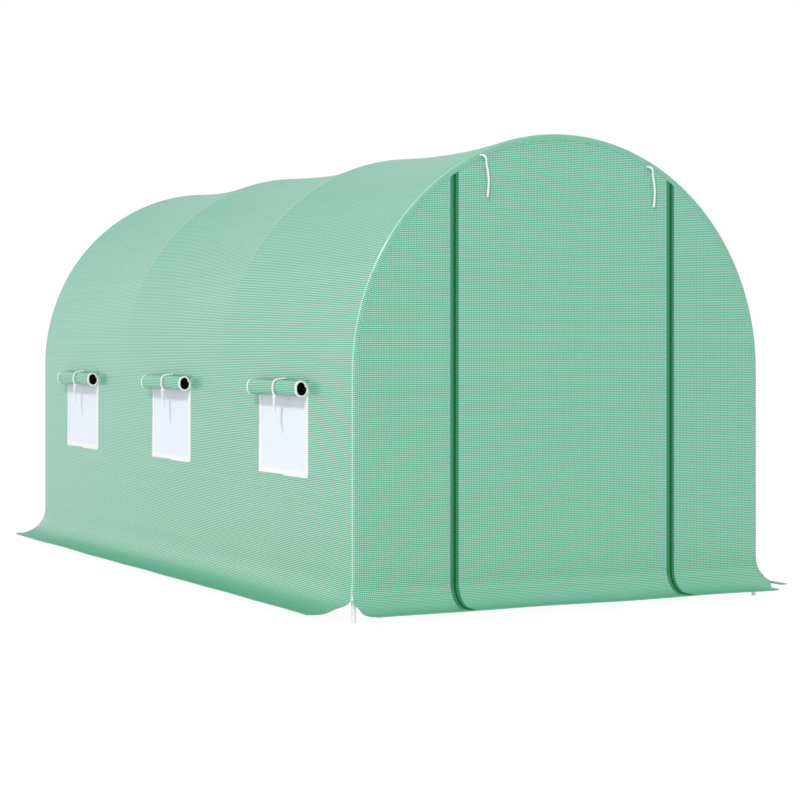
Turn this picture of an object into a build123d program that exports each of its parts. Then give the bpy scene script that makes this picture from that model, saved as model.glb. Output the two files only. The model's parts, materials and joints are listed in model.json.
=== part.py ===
"""Polytunnel greenhouse: a hooped steel tube frame under a fitted green cover.

The door end faces -Y, the length runs along Y, +X is to the right of the door, and z = 0 is the ground
under the bare feet of the legs. All lengths are in millimetres.
"""
import os
from math import asin, degrees, pi, radians, tan

from build123d import *

# Tunnel, measured over the cover
tunnel_length = 4000.0
tunnel_width = 2000.0
wall_height = 1000.0
hoop_count = 4

# Fits shared by all the pieces
cover_sheet = 2.0
seat_clearance = 0.3

# Frame tube, with a swaged neck where one length plugs into the next
tube_diameter = 19.0
tube_wall = 1.2
swage_length = 60.0
butt_gap = 1.0
base_rail_height = 100.0

# Ground flaps that flare out from the foot of every wall, slit at the corners
flap_radius = 140.0
flap_lip = 28.0
flap_lip_height = 43.0
slit_height = 80.0

# Door zips
zip_offset = 534.0
zip_width = 38.0
zip_head_room = 29.0
zip_teeth_width = 7.0
zip_teeth_rise = 1.6

# Side windows, each a mesh screen with a sewn border under a rolled flap
window_width = 513.0
window_height = 411.0
window_drop = 35.0
border_width = 30.0
border_corner = 14.0
border_sheet = 1.5
screen_sheet = 1.0
flap_sheet = 2.0
roll_radius = 28.0
roll_flat = 12.0
roll_drop = 69.0
roll_pitch = 4.0
roll_half_turns = 4
hem_margin = 6.0

# Cords
cord_diameter = 9.0
cord_bend_share = 0.45
door_tie_spacing = 824.0
door_tie_drop = 17.0

# Places worked out from the sizes above
tube_radius = tube_diameter / 2
swage_radius = tube_radius - tube_wall - seat_clearance
swage_bore = swage_radius - tube_wall
half_length = tunnel_length / 2
roof_radius = tunnel_width / 2
crown_height = wall_height + roof_radius
roof_inside = roof_radius - cover_sheet
end_inside = half_length - cover_sheet
edge_radius = tube_radius + seat_clearance + cover_sheet
hoop_radius = roof_radius - edge_radius
end_hoop = half_length - edge_radius
hoop_spacing = 2 * end_hoop / (hoop_count - 1)
hoop_places = [-end_hoop + hoop_spacing * index for index in range(hoop_count)]
bay_centres = [(near + far) / 2 for near, far in zip(hoop_places, hoop_places[1:])]
purlin_radius = hoop_radius - tube_diameter - seat_clearance
roof_sag = tube_diameter + seat_clearance
flap_top = flap_lip_height + flap_radius
flap_reach = flap_radius + flap_lip
zip_inner = zip_offset - zip_width / 2
zip_outer = zip_offset + zip_width / 2
window_head = wall_height - window_drop
window_middle = window_head - window_height / 2
screen_width = window_width - border_width
screen_height = window_height - border_width
roll_height = wall_height - roll_drop
hem_height = wall_height - hem_margin


def neck(length):
    """Return the narrowed end of a tube, which plugs into the next one."""
    return extrude(Circle(swage_radius) - Circle(swage_bore), length)


def tube(length):
    """Return a plain tube that stands on its end."""
    return extrude(Circle(tube_radius) - Circle(tube_radius - tube_wall), length)


def bend(outer, inner, start, size):
    """Return a bent tube in the XZ plane, from start degrees above +X, on the hoop's centre line."""
    section = Pos(hoop_radius) * (Circle(outer) - Circle(inner))
    return Rot(Y=-start) * revolve(section, Axis((0, 0, 0), (0, -1, 0)), size)


def arch(plugs_in):
    """Return the right quarter of a hoop's arch, with the neck at its foot and, if asked, at its crown."""
    step = degrees(tube_wall / hoop_radius)
    hollow = 90 - (2 * step if plugs_in else step)
    quarter = bend(tube_radius, swage_bore, 0, step)
    quarter += bend(tube_radius, tube_radius - tube_wall, step, hollow)
    quarter += Pos(hoop_radius) * neck(-swage_length)
    if plugs_in:
        quarter += bend(tube_radius, swage_bore, 90 - step, step)
        quarter += bend(swage_radius, swage_bore, 90, degrees(swage_length / hoop_radius))
    return Pos(Z=wall_height) * quarter


def purlin_run():
    """Return a run of tubes along Y, one for each bay, plugged into each other at the hoops."""
    edges = [-end_inside + seat_clearance, *hoop_places[1:-1], end_inside - seat_clearance]
    run = []
    for near, far in zip(edges, edges[1:]):
        if far == edges[-1]:
            piece = tube(far - near)
        else:
            length = far - near - butt_gap
            piece = tube(length - tube_wall)
            piece += Pos(Z=length - tube_wall) * extrude(Circle(tube_radius) - Circle(swage_bore), tube_wall)
            piece += Pos(Z=length) * neck(swage_length)
        run.append(Pos(Y=near) * Rot(X=-90) * piece)
    return run


def arch_band(rise):
    """Return the thin half ring that is the roof's section, standing in the XZ plane at y = 0."""
    outer = EllipticalCenterArc((0, 0), roof_radius, rise, arc_size=180)
    inner = EllipticalCenterArc((0, 0), roof_inside, rise - cover_sheet, arc_size=180)
    band = make_face([outer, Line(outer @ 1, inner @ 1), inner, Line(inner @ 0, outer @ 0)])
    return Plane(origin=(0, 0, wall_height), x_dir=(1, 0, 0), z_dir=(0, -1, 0)) * band


def roof_bay(near, far):
    """Return the cover over one bay, stretched over a hoop at each end and sagging between them."""
    taut = arch_band(roof_radius)
    slack = arch_band(roof_radius - roof_sag)
    sections = [Pos(Y=near) * taut, Pos(Y=(near + far) / 2) * slack, Pos(Y=far) * taut]
    return loft([section.face() for section in sections])


def flap_profile(rise=0):
    """Return a wall's flared foot in section, x outwards and y up, with its outer face raised by rise."""
    centre = (flap_radius, flap_top)
    outer = CenterArc(centre, flap_radius - rise, 180, 90)
    inner = CenterArc(centre, flap_radius + cover_sheet, 180, 90)
    lip_top = Vector(flap_reach, (outer @ 1).Y)
    lip_foot = Vector(flap_reach, (inner @ 1).Y)
    rim = Polyline(outer @ 1, lip_top, lip_foot, inner @ 1)
    return make_face([outer, rim, inner, Line(inner @ 0, outer @ 0)])


def front_strip(left, right, rise=0):
    """Return a strip of the front flap between two places along X."""
    plane = Plane(origin=(right, -half_length, 0), x_dir=(0, -1, 0), z_dir=(-1, 0, 0))
    return extrude(plane * flap_profile(rise), right - left)


def end_outline(radius):
    """Return the outline of an end wall above its flap: straight sides under a round head."""
    sides = Rectangle(2 * radius, wall_height - flap_top, align=(Align.CENTER, Align.MAX))
    head = Circle(radius) & Rectangle(2 * radius, radius, align=(Align.CENTER, Align.MIN))
    return Pos(0, wall_height) * (sides + head)


def front_plate(outline, thickness):
    """Return a plate on the front wall's inner face, thickness towards the outside."""
    plane = Plane(origin=(0, -end_inside, 0), x_dir=(1, 0, 0), z_dir=(0, -1, 0))
    return extrude(plane * outline, thickness)


def column(left, right):
    """Return a tall rectangle between two places along X, from the flap to the crown."""
    return Pos(left, flap_top) * Rectangle(right - left, crown_height - flap_top, align=(Align.MIN, Align.MIN))


def zip_outline(width):
    """Return a strip of the right-hand zip above the flap, cut off along the arch."""
    strip = column(zip_offset - width / 2, zip_offset + width / 2)
    return strip & end_outline(roof_radius - zip_head_room)


def front_panels():
    """Return the door panel and the right-hand panel, which part at the zip."""
    outline = end_outline(hoop_radius)
    right_zip = zip_outline(zip_width)
    door = outline & column(-zip_offset, zip_offset)
    door = door - right_zip - mirror(right_zip, Plane.YZ)
    side = (outline & column(zip_offset, roof_radius)) - right_zip
    return front_plate(door, cover_sheet), front_plate(side, cover_sheet)


def door_zip():
    """Return the right-hand zip: its tape down the wall and the flap, with the teeth standing proud."""
    half_teeth = zip_teeth_width / 2
    tape = front_plate(zip_outline(zip_width), cover_sheet) + front_strip(zip_inner, zip_outer)
    teeth = front_plate(zip_outline(zip_teeth_width), cover_sheet + zip_teeth_rise)
    return tape + teeth + front_strip(zip_offset - half_teeth, zip_offset + half_teeth, zip_teeth_rise)


def corner_foot():
    """Return the right front corner of the flare, down to the slit, about an upright axis at the origin."""
    turn = degrees(asin((flap_top - slit_height) / flap_radius))
    centre = (edge_radius + flap_radius, flap_top)
    outer = CenterArc(centre, flap_radius, 180, turn)
    inner = CenterArc(centre, flap_radius + cover_sheet, 180, turn)
    section = make_face([outer, Line(outer @ 1, inner @ 1), inner, Line(inner @ 0, outer @ 0)])
    upright = Plane(origin=(0, 0, 0), x_dir=(1, 0, 0), z_dir=(0, -1, 0))
    return revolve(upright * section, Axis((0, 0, 0), (0, 0, -1)), 90)


def end_piping():
    """Return the front's rounded edge, where the cover wraps the end hoop: two halves with flared feet."""
    ring = Circle(edge_radius) - Circle(edge_radius - cover_sheet)
    quadrant = ring & Rectangle(edge_radius, edge_radius, align=(Align.MIN, Align.MAX))
    upright = Pos(Z=flap_top) * extrude(quadrant, wall_height - flap_top)
    turn = 90 - degrees(seat_clearance / hoop_radius)
    head = Pos(Z=wall_height) * revolve(Pos(hoop_radius) * quadrant, Axis((0, 0, 0), (0, -1, 0)), turn)
    right_half = Pos(Y=-end_hoop) * (head + Pos(hoop_radius) * (upright + corner_foot()))
    return [right_half, mirror(right_half, Plane.YZ)]


def on_left_wall(shape, depth):
    """Stand a sketch, x along Y and y up, on the left wall's outer face and thicken it outwards."""
    plane = Plane(origin=(-roof_radius, 0, 0), x_dir=(0, -1, 0), z_dir=(-1, 0, 0))
    return extrude(plane * shape, depth)


def left_wall():
    """Return the left wall above its flap, with an opening for each window."""
    length = 2 * end_hoop
    sheet = Pos(0, flap_top) * Rectangle(length, wall_height - flap_top, align=(Align.CENTER, Align.MIN))
    for place in bay_centres:
        sheet -= Pos(-place, window_middle) * Rectangle(screen_width, screen_height)
    return on_left_wall(sheet, -cover_sheet)


def left_flap():
    """Return the left wall's ground flap."""
    plane = Plane(origin=(-roof_radius, -end_hoop, 0), x_dir=(-1, 0, 0), z_dir=(0, 1, 0))
    return extrude(plane * flap_profile(), 2 * end_hoop)


def window_screen(place):
    """Return one window's mesh panel, flush with the wall's outer face."""
    panel = Pos(-place, window_middle) * Rectangle(screen_width, screen_height)
    return on_left_wall(panel, -screen_sheet)


def window_border(place):
    """Return the sewn tape round one window, half on the wall and half on the mesh."""
    outer = RectangleRounded(window_width, window_height, border_corner)
    inner = Rectangle(window_width - 2 * border_width, window_height - 2 * border_width)
    return on_left_wall(Pos(-place, window_middle) * (outer - inner), border_sheet)


# The rolled flap stands off the wall by the border that it hangs over
roll_gap = border_sheet + seat_clearance
roll_centre = roll_gap + roll_radius
hem_face = roll_gap + flap_sheet


def roll_profile():
    """Return a rolled flap in section, x outwards and y up: hem, hanging run and a flattened spiral."""
    hem_foot = window_head + seat_clearance
    lower = roll_height - roll_flat / 2
    upper = roll_height + roll_flat / 2
    outer = [Line((roll_gap, hem_foot), (roll_gap, lower))]
    inner = [Line((hem_face, hem_height), (hem_face, lower))]
    for turn in range(roll_half_turns):
        rising = turn % 2 == 1
        radius = roll_radius - roll_pitch * turn / 2
        centre = (roll_centre + roll_pitch / 2, upper) if rising else (roll_centre, lower)
        for side, side_radius in ((outer, radius), (inner, radius - flap_sheet)):
            half_circle = CenterArc(centre, side_radius, 0 if rising else 180, 180)
            if turn:
                side.append(Line(side[-1] @ 1, half_circle @ 0))
            side.append(half_circle)
    hem = Polyline(inner[0] @ 0, (0, hem_height), (0, hem_foot), outer[0] @ 0)
    return make_face([*outer, *inner, hem, Line(outer[-1] @ 1, inner[-1] @ 1)])


def window_roll(place):
    """Return one window's flap, rolled up over the head of its screen."""
    near = place - window_width / 2
    plane = Plane(origin=(-roof_radius, near, 0), x_dir=(-1, 0, 0), z_dir=(0, 1, 0))
    return extrude(plane * roll_profile(), window_width)


def cord(points):
    """Return a cord's tube along straight runs and tangent arcs, as large as the runs allow."""
    points = [Vector(point) for point in points]
    radii = []
    for before, corner, after in zip(points, points[1:], points[2:]):
        run_in = corner - before
        run_out = after - corner
        half_turn = radians(run_in.get_angle(run_out)) / 2
        radii.append(cord_bend_share * min(run_in.length, run_out.length) / tan(half_turn))
    path = FilletPolyline(*points, radius=radii)
    start = Plane(origin=path @ 0, z_dir=path % 0)
    solid = sweep(start * Circle(cord_diameter / 2), path=path)
    section = pi * cord_diameter**2 / 4
    print(
        f"cord: length {path.length:.1f}, volume share {solid.volume / section / path.length:.4f},"
        f" radii {[round(radius, 1) for radius in radii]}"
    )
    return solid


# Each cord's route, chosen by hand: along X, out from the front face, height above ground
door_tie_route = [
    (-412.0, 0.0, 1894.0),
    (-412.0, 20.0, 1894.0),
    (-398.0, 24.0, 1884.0),
    (-393.0, 16.0, 1862.0),
    (-380.0, 10.0, 1818.0),
    (-377.0, 9.5, 1772.0),
    (-383.0, 9.0, 1722.0),
]
# Out from the left wall's face, along Y from the window's middle, height above ground
window_tie_route = [
    (hem_face, -33.0, 968.1),
    (44.7, -33.0, 968.1),
    (62.9, -33.0, 949.9),
    (62.9, -33.0, 911.3),
    (54.5, -33.0, 900.0),
    (55.0, -33.0, 880.0),
    (57.0, -33.5, 858.0),
    (54.0, -35.0, 828.0),
    (50.0, -36.0, 798.0),
]
window_tail_route = [
    (54.8, -23.7, 889.0),
    (52.0, -21.5, 868.0),
    (48.0, -18.0, 846.0),
    (45.5, -17.0, 826.0),
]


def door_tie():
    """Return the tie that hangs beside the door's top left corner."""
    return cord([(x, -half_length - out, z) for x, out, z in door_tie_route])


def window_cord(route, place):
    """Return one cord of a window's tie."""
    return cord([(-roof_radius - out, place + along, z) for out, along, z in route])


def at_hoops(shape):
    """Return a copy of a piece at every hoop."""
    return [Pos(Y=place) * shape for place in hoop_places]


def mirrored(pieces, plane):
    """Return the pieces reflected in a plane."""
    return [mirror(piece, plane) for piece in pieces]


nodes = {}

# Steel frame
right_legs = at_hoops(Pos(hoop_radius) * tube(wall_height))
nodes["right_legs"] = right_legs
nodes["left_legs"] = mirrored(right_legs, Plane.YZ)
nodes["right_arches"] = at_hoops(arch(True))
nodes["left_arches"] = mirrored(at_hoops(arch(False)), Plane.YZ)
run = purlin_run()
nodes["ridge_purlin"] = [Pos(Z=wall_height + purlin_radius) * piece for piece in run]
for name, height in (("shoulder_purlin", wall_height), ("base_rail", base_rail_height)):
    right_run = [Pos(purlin_radius, 0, height) * piece for piece in run]
    nodes["right_" + name] = right_run
    nodes["left_" + name] = mirrored(right_run, Plane.YZ)

# Cover
for index, (near, far) in enumerate(zip(hoop_places, hoop_places[1:]), 1):
    nodes[f"roof_bay_{index}"] = [roof_bay(near, far)]
nodes["left_wall"] = [left_wall()]
nodes["left_flap"] = [left_flap()]
door_panel, front_right_panel = front_panels()
nodes["door_panel"] = [door_panel]
nodes["front_right_panel"] = [front_right_panel]
nodes["front_left_panel"] = mirrored([front_right_panel], Plane.YZ)
nodes["door_flap"] = [front_strip(-zip_inner, zip_inner)]
nodes["front_right_flap"] = [front_strip(zip_outer, hoop_radius)]
nodes["front_left_flap"] = mirrored(nodes["front_right_flap"], Plane.YZ)
nodes["right_zip"] = [door_zip()]
nodes["left_zip"] = mirrored(nodes["right_zip"], Plane.YZ)
nodes["front_piping"] = end_piping()
nodes["back_panel"] = mirrored([front_plate(end_outline(hoop_radius), cover_sheet)], Plane.XZ)
nodes["back_flap"] = mirrored([front_strip(-hoop_radius, hoop_radius)], Plane.XZ)
nodes["back_piping"] = mirrored(nodes["front_piping"], Plane.XZ)

# Windows
nodes["left_window_screens"] = [window_screen(place) for place in bay_centres]
nodes["left_window_borders"] = [window_border(place) for place in bay_centres]
nodes["left_window_rolls"] = [window_roll(place) for place in bay_centres]
for name in ("wall", "flap", "window_screens", "window_borders", "window_rolls"):
    nodes["right_" + name] = mirrored(nodes["left_" + name], Plane.YZ)

# Ties
left_door_tie = door_tie()
nodes["left_door_tie"] = [left_door_tie]
nodes["right_door_tie"] = [Pos(door_tie_spacing, 0, -door_tie_drop) * left_door_tie]
for index, place in enumerate(bay_centres, 1):
    for name, route in (("tie", window_tie_route), ("tail", window_tail_route)):
        left_cord = [window_cord(route, place)]
        nodes[f"left_window_{name}_{index}"] = left_cord
        nodes[f"right_window_{name}_{index}"] = mirrored(left_cord, Plane.YZ)

os.makedirs("parts", exist_ok=True)
for name, pieces in nodes.items():
    solids = [solid for piece in pieces for solid in piece.solids()]
    export_step(Compound(children=solids) if len(solids) > 1 else solids[0], f"parts/{name}.step")
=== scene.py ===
"""Looks of the polytunnel greenhouse: its woven cover, zips, windows and ties round the tube frame.

The door end faces -Y and z = 0 is the ground. All lengths are in metres.
"""
import json
from math import asin, cos, exp, hypot, pi, radians, sin, sqrt

import bpy
from mathutils import Matrix, Vector, noise
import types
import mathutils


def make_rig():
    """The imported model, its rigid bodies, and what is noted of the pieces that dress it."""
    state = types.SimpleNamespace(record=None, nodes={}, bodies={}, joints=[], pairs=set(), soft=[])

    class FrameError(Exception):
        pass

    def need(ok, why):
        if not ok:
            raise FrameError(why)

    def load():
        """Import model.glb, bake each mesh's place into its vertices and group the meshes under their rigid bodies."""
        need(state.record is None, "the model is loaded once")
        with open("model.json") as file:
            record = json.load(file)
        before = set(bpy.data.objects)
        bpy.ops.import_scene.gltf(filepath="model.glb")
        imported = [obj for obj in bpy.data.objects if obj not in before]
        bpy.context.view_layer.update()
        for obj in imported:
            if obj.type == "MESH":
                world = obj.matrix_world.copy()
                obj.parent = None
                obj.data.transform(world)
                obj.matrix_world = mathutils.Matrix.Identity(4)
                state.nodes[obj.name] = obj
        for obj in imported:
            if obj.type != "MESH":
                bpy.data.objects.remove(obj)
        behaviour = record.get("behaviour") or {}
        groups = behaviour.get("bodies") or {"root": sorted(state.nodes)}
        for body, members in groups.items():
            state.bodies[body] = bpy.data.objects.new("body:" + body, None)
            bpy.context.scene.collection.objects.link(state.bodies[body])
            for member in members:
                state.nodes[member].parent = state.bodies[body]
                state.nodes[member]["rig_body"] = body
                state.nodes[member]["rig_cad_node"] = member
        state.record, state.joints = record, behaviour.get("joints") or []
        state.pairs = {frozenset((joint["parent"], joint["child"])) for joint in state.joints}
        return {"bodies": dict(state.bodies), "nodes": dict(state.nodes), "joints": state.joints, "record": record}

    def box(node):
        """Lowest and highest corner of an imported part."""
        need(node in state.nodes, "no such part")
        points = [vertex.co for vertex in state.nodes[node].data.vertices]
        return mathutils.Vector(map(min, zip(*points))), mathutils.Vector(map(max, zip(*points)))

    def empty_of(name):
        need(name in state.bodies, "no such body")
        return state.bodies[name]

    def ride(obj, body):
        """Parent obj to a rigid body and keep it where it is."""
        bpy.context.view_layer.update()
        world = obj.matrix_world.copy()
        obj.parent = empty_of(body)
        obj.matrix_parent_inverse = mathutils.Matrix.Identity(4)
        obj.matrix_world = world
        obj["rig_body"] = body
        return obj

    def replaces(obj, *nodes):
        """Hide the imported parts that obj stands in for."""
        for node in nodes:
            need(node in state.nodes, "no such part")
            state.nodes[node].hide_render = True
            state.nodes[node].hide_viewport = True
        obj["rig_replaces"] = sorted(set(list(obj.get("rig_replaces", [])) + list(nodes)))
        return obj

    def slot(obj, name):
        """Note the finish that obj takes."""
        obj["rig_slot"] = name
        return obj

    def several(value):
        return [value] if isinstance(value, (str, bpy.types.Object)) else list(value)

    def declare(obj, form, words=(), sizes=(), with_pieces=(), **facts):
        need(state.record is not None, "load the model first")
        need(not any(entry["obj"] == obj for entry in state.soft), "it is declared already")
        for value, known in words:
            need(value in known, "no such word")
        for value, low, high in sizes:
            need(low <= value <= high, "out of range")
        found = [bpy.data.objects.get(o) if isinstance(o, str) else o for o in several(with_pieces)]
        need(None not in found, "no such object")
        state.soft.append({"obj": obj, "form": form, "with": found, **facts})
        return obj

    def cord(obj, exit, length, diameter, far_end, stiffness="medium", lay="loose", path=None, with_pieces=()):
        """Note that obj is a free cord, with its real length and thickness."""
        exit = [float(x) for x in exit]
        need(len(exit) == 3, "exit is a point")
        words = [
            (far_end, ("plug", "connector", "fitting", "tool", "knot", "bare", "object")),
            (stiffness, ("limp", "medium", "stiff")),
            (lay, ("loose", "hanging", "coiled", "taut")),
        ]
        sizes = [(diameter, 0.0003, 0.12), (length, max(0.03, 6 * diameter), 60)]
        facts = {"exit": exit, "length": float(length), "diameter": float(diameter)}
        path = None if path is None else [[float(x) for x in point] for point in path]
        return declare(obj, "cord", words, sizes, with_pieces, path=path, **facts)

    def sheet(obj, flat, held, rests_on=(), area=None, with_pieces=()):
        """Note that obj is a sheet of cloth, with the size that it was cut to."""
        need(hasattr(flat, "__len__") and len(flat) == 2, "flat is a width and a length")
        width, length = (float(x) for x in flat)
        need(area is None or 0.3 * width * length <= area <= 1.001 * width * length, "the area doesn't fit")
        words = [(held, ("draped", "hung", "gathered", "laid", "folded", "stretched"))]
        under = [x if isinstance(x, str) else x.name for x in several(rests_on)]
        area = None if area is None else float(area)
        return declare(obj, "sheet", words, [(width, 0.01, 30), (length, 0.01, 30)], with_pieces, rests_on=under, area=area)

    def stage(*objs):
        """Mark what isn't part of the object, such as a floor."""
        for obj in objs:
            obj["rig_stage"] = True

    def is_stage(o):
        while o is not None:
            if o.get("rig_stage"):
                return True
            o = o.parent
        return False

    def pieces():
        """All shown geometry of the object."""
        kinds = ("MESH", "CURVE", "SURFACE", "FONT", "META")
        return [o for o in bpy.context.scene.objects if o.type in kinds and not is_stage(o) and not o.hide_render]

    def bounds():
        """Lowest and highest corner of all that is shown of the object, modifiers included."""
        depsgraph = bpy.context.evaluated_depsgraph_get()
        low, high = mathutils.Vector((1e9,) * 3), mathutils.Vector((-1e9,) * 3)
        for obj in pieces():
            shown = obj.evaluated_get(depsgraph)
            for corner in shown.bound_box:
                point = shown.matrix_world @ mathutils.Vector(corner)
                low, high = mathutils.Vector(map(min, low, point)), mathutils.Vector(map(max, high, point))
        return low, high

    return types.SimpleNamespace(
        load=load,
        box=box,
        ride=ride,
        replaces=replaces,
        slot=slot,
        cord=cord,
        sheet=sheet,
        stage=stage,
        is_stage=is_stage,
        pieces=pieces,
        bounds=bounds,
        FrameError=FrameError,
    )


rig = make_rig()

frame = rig.load()
cad_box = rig.bounds()

# Sizes read from the frame
wall_low, wall_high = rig.box("left_wall")
flap_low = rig.box("left_flap")[0]
zip_low, zip_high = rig.box("right_zip")
border_low, border_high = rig.box("left_window_borders")
screen_low, screen_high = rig.box("left_window_screens")
roll_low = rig.box("left_window_rolls")[0]
roof_radius = -wall_low[0]
wall_top = wall_high[2]
flap_top = wall_low[2]
end_hoop = wall_high[1]
half_length = -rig.box("door_panel")[0][1]
hoop_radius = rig.box("front_right_panel")[1][0]
bay_length = 2 * end_hoop / 3
bay_places = [-bay_length, 0.0, bay_length]
zip_middle = (zip_low[0] + zip_high[0]) / 2
zip_radius = hypot(zip_low[0], zip_high[2] - wall_top)
window_half = border_high[1] - bay_length
window_sill = border_low[2]
window_head = border_high[2]
window_middle = (window_sill + window_head) / 2
screen_half = screen_high[1] - bay_length
screen_sill = screen_low[2]
screen_head = screen_high[2]
border_width = 2 * (window_half - screen_half)

# Cover, wrapped round the end hoops, with bays that sag a little more beside the crown
cad_sheet = 0.002
cover_sheet = 0.0013
wrap_radius = 0.0160
end_edge = half_length - wrap_radius
seam_lap = 0.012
hoop_margin = 0.03
crown_sag = 0.0193
bay_sags = [0.004, 0.013, 0.004]
crown_angle = 0.14
sag_power = 0.8

# Ground flaps, with a hem that hangs down and slow waves in their height and reach
lip_height = flap_low[2] + cad_sheet
flap_radius = flap_top - lip_height
side_lip = 0.038
end_bend_top = 0.142
end_bend_radius = end_bend_top - lip_height
end_lip = 0.057
hem_drop = 0.004
hem_slope = 0.9
flap_seam_height = 0.100
lift_wave = 0.003
lift_wave_length = 0.45
reach_wave = 0.004
reach_wave_length = 0.6
side_reach_seed = 4
front_lift_seed = 9
front_reach_seed = 11

# Corners between two flaps, open below the slit. A pair gives the left and the right front corner: the
# heights where a flap hangs free and where its neighbour holds it, and the side flap's share of flare there
slit_height = 0.088
corner_heights = ((0.055, 0.088), (0.030, 0.070))
corner_run = 0.060
flap_corner_radius = 0.028
side_corner_shares = (0.30, 0.90)
end_corner_share = 0.85

# Lengths of cloth from the crown down one side
roof_run = roof_radius * pi / 2
wall_run = roof_run + wall_top - flap_top
curve_run = wall_run + flap_radius * pi / 2
hem_run = curve_run + side_lip + hem_drop
slit_run = wall_run + flap_radius * asin((flap_top - slit_height) / flap_radius)

# Lengths of cloth down an end's flap and round an end hoop
end_curve_run = end_bend_radius * pi / 2
end_flap_run = end_curve_run + end_lip + hem_drop
wrap_run = wrap_radius * pi / 2

# Door zips: teeth_profile is in half widths of the teeth, and teeth_low is the share that stays between them
tape_half = (zip_high[0] - zip_low[0]) / 2
tape_sheet = 0.0012
tape_lift = 0.0022
tape_edge_drop = 0.0010
teeth_half = 0.0055
teeth_pitch = 0.005
teeth_rise = 0.0022
teeth_low = 0.45
teeth_profile = [-1.0, -0.8, -0.25, 0.0, 0.25, 0.8, 1.0]
rows_per_tooth = 6

# Window screens and their borders
screen_sheet = 0.0008
screen_set_back = 0.001
screen_belly = 0.004
border_corner = 0.014
border_sheet = 0.0026
border_offset = 0.6
border_round = 0.0007

# Rolled window flaps, bound at both ends, which droop a little once they are clear of their hem
roll_gap = 0.0018
roll_cloth = 0.0016
roll_pitch = 0.004
roll_flat = 0.012
roll_half_turns = 5
roll_steps = 16
roll_hem = 0.006
roll_radius = (-roll_low[0] - roof_radius - roll_gap - roll_cloth) / 2
roll_loose_run = 0.05
roll_droop = 0.003
roll_wave = 0.0010
roll_wave_length = 0.12
binding_width = 0.009
binding_sheet = 0.0066
binding_proud = 0.0009

# Ties, and a knot that lies some share of the way between two points of its tie
cord_radius = 0.0045
knot_size = 0.0030
knot_cord_share = 0.85
knot_share = 0.35

smooth_angle = radians(40)


def spread(*spans):
    """Join spans of (start, end, count) into one list of places, without doubles."""
    places = [spans[0][0]]
    for start, end, count in spans:
        places += [start + (end - start) * index / count for index in range(1, count + 1)]
    return places


class Term:
    """A shader value that Python's operators combine through Math nodes."""

    def __init__(self, finish, socket):
        self.finish = finish
        self.socket = socket

    def math(self, operation, *others):
        return self.finish.add("ShaderNodeMath", {"operation": operation}, dict(enumerate((self, *others))))

    def reflected(self, operation, other):
        return self.finish.add("ShaderNodeMath", {"operation": operation}, {0: other, 1: self})

    def __add__(self, other):
        return self.math("ADD", other)

    def __sub__(self, other):
        return self.math("SUBTRACT", other)

    def __mul__(self, other):
        return self.math("MULTIPLY", other)

    def __truediv__(self, other):
        return self.math("DIVIDE", other)

    def __radd__(self, other):
        return self.reflected("ADD", other)

    def __rsub__(self, other):
        return self.reflected("SUBTRACT", other)

    def __rmul__(self, other):
        return self.reflected("MULTIPLY", other)

    def __rtruediv__(self, other):
        return self.reflected("DIVIDE", other)


class Finish:
    """A material and the nodes that make it."""

    def __init__(self, name):
        self.material = bpy.data.materials.new(name)
        self.material.use_nodes = True
        self.tree = self.material.node_tree
        self.surface = self.tree.nodes["Principled BSDF"]

    def add(self, kind, settings, inputs, output=0):
        """Add a node, with its settings first and then its inputs, and return one output."""
        node = self.tree.nodes.new(kind)
        for name, value in settings.items():
            setattr(node, name, value)
        for key, value in inputs.items():
            self.feed(node.inputs[key], value)
        return Term(self, node.outputs[output])

    def feed(self, socket, value):
        if isinstance(value, Term):
            self.tree.links.new(value.socket, socket)
        else:
            socket.default_value = value

    def dress(self, inputs):
        """Set the surface shader's inputs."""
        for name, value in inputs.items():
            self.feed(self.surface.inputs[name], value)

    def cloth_place(self):
        """Return the place on the flat cloth, across and along, in metres."""
        flat = self.add("ShaderNodeTexCoord", {}, {}, "UV")
        return [self.add("ShaderNodeSeparateXYZ", {}, {0: flat}, axis) for axis in ("X", "Y")]

    def object_place(self):
        return self.add("ShaderNodeTexCoord", {}, {}, "Object")

    def rise(self, value, low, high, bottom=0.0, top=1.0):
        """Return a smooth step from bottom to top as value goes from low to high."""
        settings = {"interpolation_type": "SMOOTHSTEP"}
        return self.add("ShaderNodeMapRange", settings, {0: value, 1: low, 2: high, 3: bottom, 4: top})

    def line(self, value, core, edge):
        """Return 1 where value lies within core of 0, with a smooth fall to 0 at edge."""
        return self.rise(value.math("ABSOLUTE"), core, edge, 1.0, 0.0)

    def zigzag(self, place, pitch):
        """Return how far a place lies from the nearest multiple of a pitch, in pitches."""
        return (place / pitch).math("PINGPONG", 0.5)

    def blend(self, factor, first, second):
        """Return first where factor is 0 and second where it is 1."""
        return self.add("ShaderNodeMix", {"data_type": "RGBA"}, {0: factor, 6: first, 7: second}, 2)

    def cloud(self, place, scale, detail=2.0):
        """Return soft noise from 0 to 1."""
        inputs = {"Vector": place, "Scale": scale, "Detail": detail, "Roughness": 0.55}
        return self.add("ShaderNodeTexNoise", {}, inputs, "Fac")

    def relief(self, height, strength, distance):
        """Return a normal bumped by height."""
        inputs = {"Height": height, "Strength": strength, "Distance": distance}
        return self.add("ShaderNodeBump", {}, inputs, "Normal")


# Weave, with the thread's half width and its soft edge in pitches, and the film's share where it blurs
weave_pitch = 0.00755
thread_half = 0.375
thread_blur = 0.03
film_share = 0.25
side_warp_share = 0.20
front_warp_share = 0.37
thread_greens = ((0.006, 0.360, 0.196, 1), (0.014, 0.392, 0.218, 1))
film_white = (0.740, 0.800, 0.760, 1)

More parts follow.
